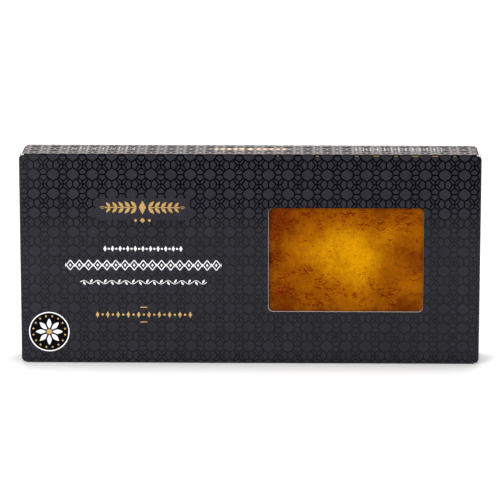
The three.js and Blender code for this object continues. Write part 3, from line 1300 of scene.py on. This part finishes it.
# The floor's reach from the middle, and the card before the pack that only gloss mirrors
FLOOR_REACH = 8
CARD_LOW = (-0.13, -5.0)
CARD_HIGH = (4.0, CAD_LOW.y - 0.30)
CARD_HEIGHT = 1 * MM


def floor_material(settings):
    """Pale, even floor."""
    material, tree, shader = new_material("pale_floor")
    cloud = uneven(tree, object_place(tree), 3.0, 0.985, 1.0)
    feed(tree, shader.inputs["Base Color"], scaled(tree, tuple(settings.floor_colour), cloud))
    set_inputs(shader, {"Roughness": 0.9, "Specular IOR Level": 0.1})
    return material


def level_sheet(name, low, high, z, material):
    """A flat stage sheet between two corners."""
    bm = bmesh.new()
    made = bmesh.ops.create_grid(bm, x_segments=1, y_segments=1, size=0.5)["verts"]
    middle = (Vector(low) + Vector(high)) / 2
    size = Vector(high) - Vector(low)
    place = Matrix.Translation((*middle, z)) @ Matrix.Diagonal((*size, 1, 1))
    bmesh.ops.transform(bm, matrix=place, verts=made)
    sheet = new_object(name, bm, [material])
    return sheet


def soft_light(name, place, aim, width, height, power, mirrored):
    """A rectangular light aimed at a point, not itself in the picture."""
    data = bpy.data.lights.new(name, "AREA")
    data.shape = "RECTANGLE"
    data.size = width
    data.size_y = height
    data.energy = power
    light = bpy.data.objects.new(name, data)
    light.location = place
    light.rotation_euler = (Vector(aim) - Vector(place)).to_track_quat("-Z", "Y").to_euler()
    light.visible_camera = False
    light.visible_glossy = mirrored
    bpy.context.scene.collection.objects.link(light)


def paint_world():
    """A white surround behind and above and a dim one in front, with a bright low band in reflections."""
    world = bpy.data.worlds.new("studio")
    bpy.context.scene.world = world
    world.use_nodes = True
    tree = world.node_tree
    direction = add_node(tree, "ShaderNodeTexCoord").outputs["Generated"]
    parts = add_node(tree, "ShaderNodeSeparateXYZ", direction)
    up = parts.outputs["Z"]
    behind = ramp(tree, parts.outputs["Y"], *TO_BACK, DIM_FRONT, 1.0)
    mirrored = add_node(tree, "ShaderNodeLightPath").outputs["Is Glossy Ray"]
    in_band = (ramp(tree, up, *BAND_STARTS), ramp(tree, up, *BAND_ENDS, 1.0, 0.0))
    band = combine(tree, "MULTIPLY", (*in_band, mirrored, BAND_MIRRORED))
    behind = number(tree, "MULTIPLY", behind, number(tree, "ADD", band, 1.0))
    strength = number(tree, "MAXIMUM", behind, ramp(tree, up, *TO_OVERHEAD))
    background = tree.nodes["Background"]
    feed(tree, background.inputs["Color"], blend_colours(tree, mirrored, WORLD_LIGHT, WORLD_MIRRORED))
    feed(tree, background.inputs["Strength"], strength)


def place_camera(settings):
    """Stands the camera before the pack, looking down at it a little from the right."""
    down = settings.pitch
    right = Vector((1, 0, 0))
    up = Vector((0, math.sin(down), math.cos(down)))
    ahead = Vector((0, math.cos(down), -math.sin(down)))
    turned = Matrix.Rotation(settings.turn, 3, "Z")
    axes = Matrix((turned @ right, turned @ up, turned @ -ahead)).transposed()
    middle = Vector((0, CAD_LOW.y, HEIGHT / 2))
    place = middle + turned @ (up * settings.rise - ahead * settings.distance)
    data = bpy.data.cameras.new("camera")
    data.lens = settings.lens
    data.clip_end = 50.0
    camera = bpy.data.objects.new("camera", data)
    camera.matrix_world = Matrix.Translation(place) @ axes.to_4x4()
    bpy.context.scene.collection.objects.link(camera)
    bpy.context.scene.camera = camera


def dark_material():
    """Plain black without gloss."""
    material, _, shader = new_material("dark_card")
    set_inputs(shader, {"Base Color": (0.0, 0.0, 0.0, 1.0), "Specular IOR Level": 0.0})
    return material


class NOUGAT_OT_stage(bpy.types.Operator):
    """Make the floor, the light and the camera"""

    bl_idname = "nougat.stage"
    bl_label = "Stage"

    def execute(self, context):
        settings = context.scene.nougat_stage
        low, high = (-FLOOR_REACH, -FLOOR_REACH), (FLOOR_REACH, FLOOR_REACH)
        level_sheet("floor", low, high, 0.0, floor_material(settings))
        card = level_sheet("dark_card", CARD_LOW, CARD_HIGH, CARD_HEIGHT, dark_material())
        card.visible_camera = False
        card.visible_diffuse = False
        card.visible_shadow = False
        card.visible_transmission = False
        for light in LIGHTS:
            soft_light(*light)
        paint_world()
        place_camera(settings)
        context.scene.view_settings.view_transform = "Standard"
        return {"FINISHED"}


class NOUGAT_PT_panel(bpy.types.Panel):
    """Lists the steps that build the pack"""

    bl_idname = "NOUGAT_PT_panel"
    bl_label = "Boxed nougat"
    bl_space_type = "VIEW_3D"
    bl_region_type = "UI"
    bl_category = "Nougat"

    def draw(self, context):
        for group, operators in STEPS:
            settings = getattr(context.scene, group)
            box = self.layout.box()
            for name in settings.bl_rna.properties.keys():
                if name not in ("rna_type", "name"):
                    box.prop(settings, name)
            for operator in operators:
                box.operator(operator.bl_idname)


GROUPS = {
    "nougat_carton": CartonSettings,
    "nougat_block": NougatSettings,
    "nougat_print": PrintSettings,
    "nougat_stage": StageSettings,
}

# The operators in the order that they run, under the settings that each group reads
STEPS = (
    ("nougat_carton", (NOUGAT_OT_carton, NOUGAT_OT_window_edge, NOUGAT_OT_film)),
    ("nougat_block", (NOUGAT_OT_block,)),
    (
        "nougat_print",
        (
            NOUGAT_OT_gold_print, NOUGAT_OT_white_print, NOUGAT_OT_seal, NOUGAT_OT_top_print,
            NOUGAT_OT_back_print,
        ),
    ),
    ("nougat_stage", (NOUGAT_OT_stage,)),
)

CLASSES = (*GROUPS.values(), *(operator for _, operators in STEPS for operator in operators), NOUGAT_PT_panel)


def register():
    """Makes the settings, the operators and the panel known."""
    for known in CLASSES:
        bpy.utils.register_class(known)
    for name, group in GROUPS.items():
        setattr(bpy.types.Scene, name, PointerProperty(type=group))


def unregister():
    """Takes them away again."""
    for name in GROUPS:
        delattr(bpy.types.Scene, name)
    for known in reversed(CLASSES):
        bpy.utils.unregister_class(known)


def main():
    """Builds every piece in order."""
    register()
    for _, operators in STEPS:
        for operator in operators:
            family, name = operator.bl_idname.split(".")
            getattr(getattr(bpy.ops, family), name)()


if __name__ == "__main__":
    main()
